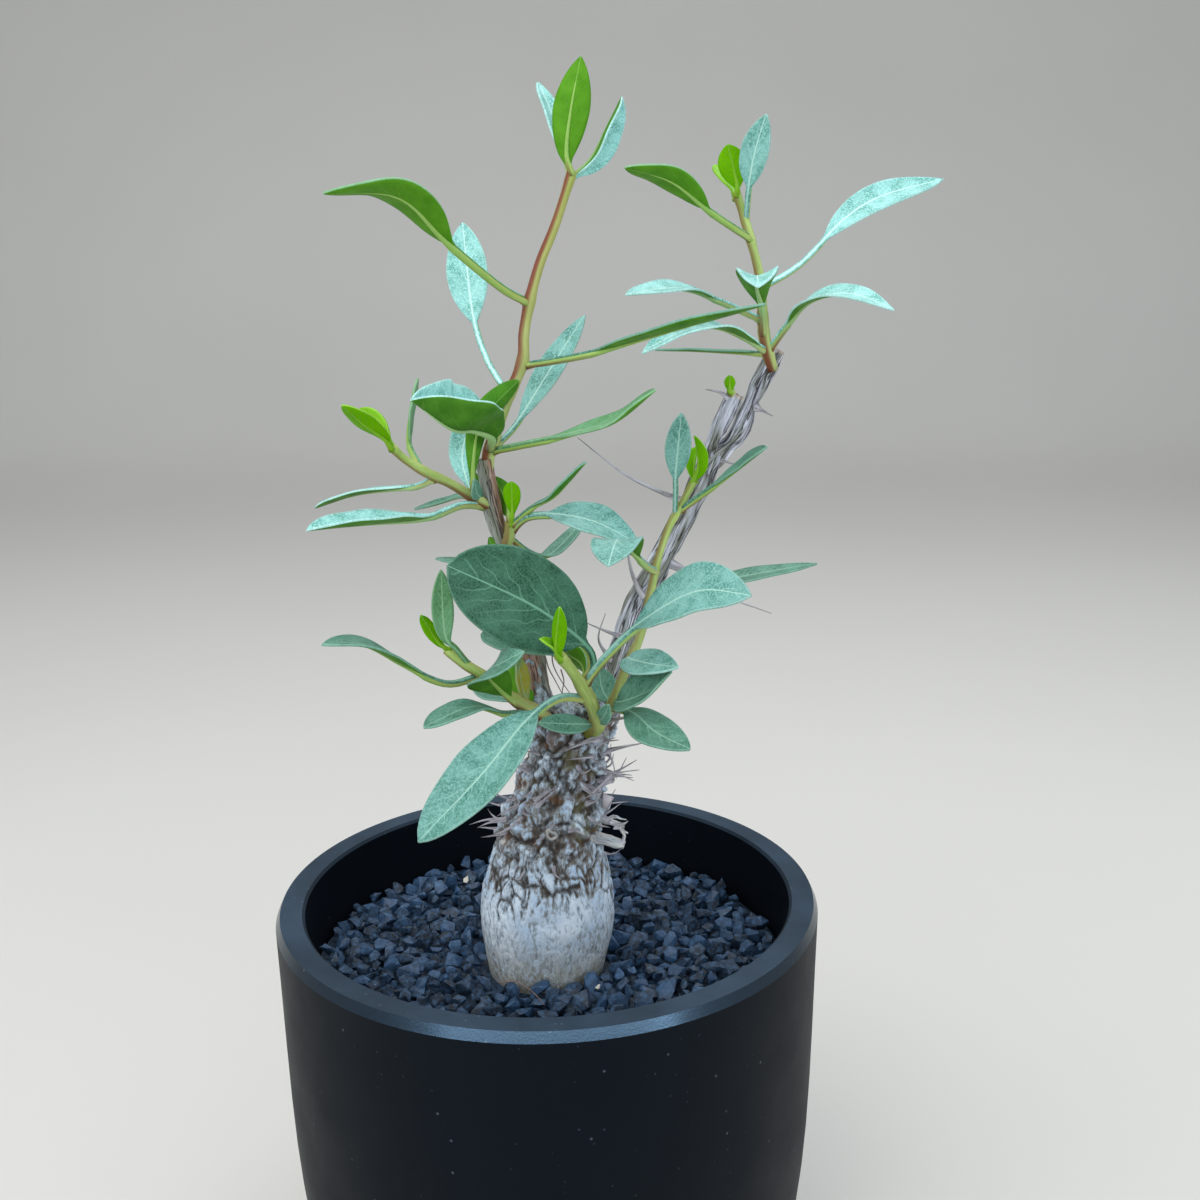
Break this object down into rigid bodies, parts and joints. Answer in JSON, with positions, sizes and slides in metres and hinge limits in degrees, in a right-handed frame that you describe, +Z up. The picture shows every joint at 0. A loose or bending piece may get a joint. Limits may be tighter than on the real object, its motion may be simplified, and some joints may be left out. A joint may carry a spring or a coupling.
{
  "type": "potted boojum tree",
  "caption": "Potted succulent tree: swollen grey caudex with a spiny neck, woody stems and slender leafy shoots, in a round matt black pot topped with dark gravel.",
  "frame": {"origin": "centre of the flat pad in the middle of the pot's underside", "axes": "+Z up through the pot, +X to the viewer's right, -Y towards the viewer of the plant's front"},
  "size_m": [0.1491, 0.1198, 0.2832],
  "materials": {
    "pot_black": "matt",
    "potting_mix": "rough",
    "gravel": "rough",
    "bark": "rough",
    "leaf": "satin"
  },
  "bodies": {
    "root": {"pot": "pot_black", "potting_mix": "potting_mix", "gravel_top": "gravel", "caudex_and_stems": "bark", "shoot_left_leader": "leaf", "shoot_left_side": "leaf", "shoot_left_middle": "leaf", "shoot_left_back": "leaf", "shoot_low_left": "leaf", "shoot_centre": "leaf", "shoot_slim_right": "leaf", "shoot_top_right": "leaf", "bud_left_fork": "leaf"}
  },
  "joints": []
}
